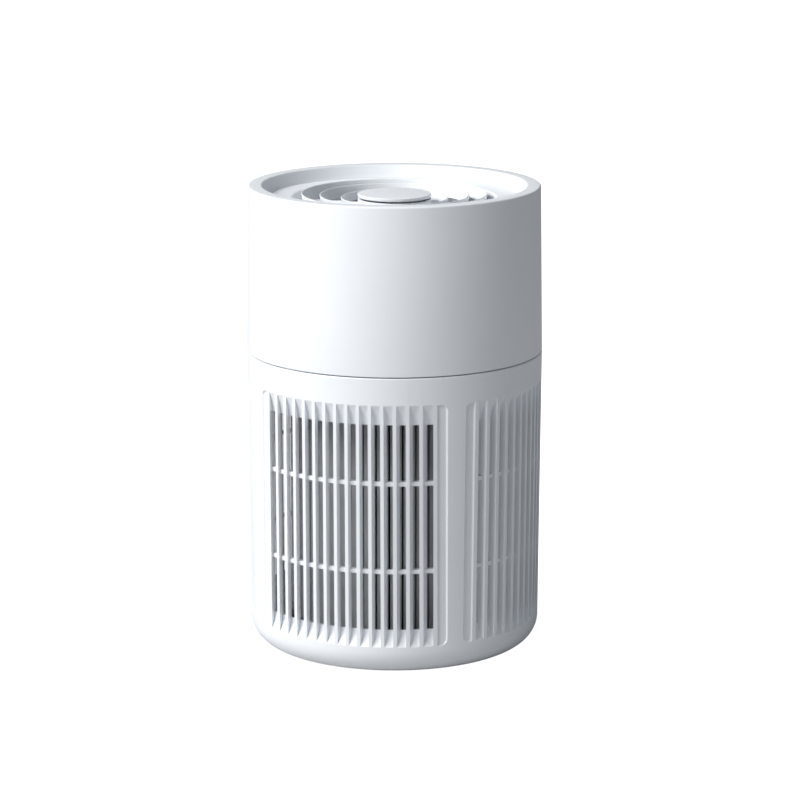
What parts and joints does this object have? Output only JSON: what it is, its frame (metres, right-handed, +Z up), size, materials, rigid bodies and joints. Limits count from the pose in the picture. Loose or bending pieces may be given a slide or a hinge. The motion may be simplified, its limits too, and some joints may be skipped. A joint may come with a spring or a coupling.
{
  "type": "air purifier",
  "caption": "Round desktop air purifier that draws room air in through barred side windows and a pleated filter and blows it out between louvre rings sunk in its top.",
  "frame": {"origin": "on the table under the middle of the base, at the bottom of the rubber feet", "axes": "+Z up along the fan axis, -Y towards the front window, +X to the right seen from the front"},
  "size_m": [0.168, 0.168, 0.265],
  "materials": {
    "white_shell": "fine satin moulding texture",
    "fan_plastic": "satin",
    "black_plastic": "satin",
    "steel": "drawn and lightly brushed",
    "screw_zinc": "zinc plated",
    "core_iron": "laminated",
    "magnet": "sintered",
    "rubber": "matt",
    "foam": "closed-cell foam",
    "filter_cloth": "pleated non-woven cloth",
    "filter_net": "woven net",
    "carbon": "loose granules in cloth",
    "board": "solder mask"
  },
  "bodies": {
    "casing": {"lower_casing": "white_shell", "upper_casing": "white_shell", "outlet_deck": "white_shell", "outlet_grille": "white_shell", "fan_duct": "fan_plastic", "inlet_plate": "fan_plastic", "power_socket": "black_plastic", "motor_lead": "black_plastic", "filter_base_cap": "black_plastic", "filter_top_cap": "black_plastic", "tact_switch": "steel", "motor_case": "steel", "motor_cap": "steel", "lower_bearing": "steel", "upper_bearing": "steel", "casing_screw_1": "screw_zinc", "casing_screw_2": "screw_zinc", "casing_screw_3": "screw_zinc", "casing_screw_4": "screw_zinc", "control_screw_1": "screw_zinc", "control_screw_2": "screw_zinc", "duct_screw_1": "screw_zinc", "duct_screw_2": "screw_zinc", "duct_screw_3": "screw_zinc", "motor_screw_1": "screw_zinc", "motor_screw_2": "screw_zinc", "motor_screw_3": "screw_zinc", "board_screw_1": "screw_zinc", "board_screw_2": "screw_zinc", "motor_stator": "core_iron", "motor_sleeve": "rubber", "foot_1": "rubber", "foot_2": "rubber", "foot_3": "rubber", "foot_4": "rubber", "filter_gasket": "foam", "filter_media": "filter_cloth", "filter_net": "filter_net", "carbon_layer": "carbon", "main_board": "board", "control_board": "board"},
    "impeller": {"impeller": "fan_plastic", "impeller_nut": "screw_zinc", "motor_shaft": "steel", "rotor_magnet": "magnet"},
    "button": {"control_button": "white_shell", "switch_plunger": "black_plastic"},
    "base_cover": {"base_cover": "white_shell"}
  },
  "joints": [
    {"name": "impeller_spin", "type": "hinge", "parent": "casing", "child": "impeller", "pos_m": [0, 0, 0.2], "axis": [0, 0, 1], "continuous": true},
    {"name": "button_press", "type": "slide", "parent": "casing", "child": "button", "axis": [0, 0, -1], "range_m": [0, 0.0007], "stiffness_N_per_m": 400, "springref_m": -0.002},
    {"name": "cover_turn", "type": "hinge", "parent": "casing", "child": "base_cover", "pos_m": [0, 0, 0.002], "axis": [0, 0, -1], "range_deg": [0, 20]}
  ]
}
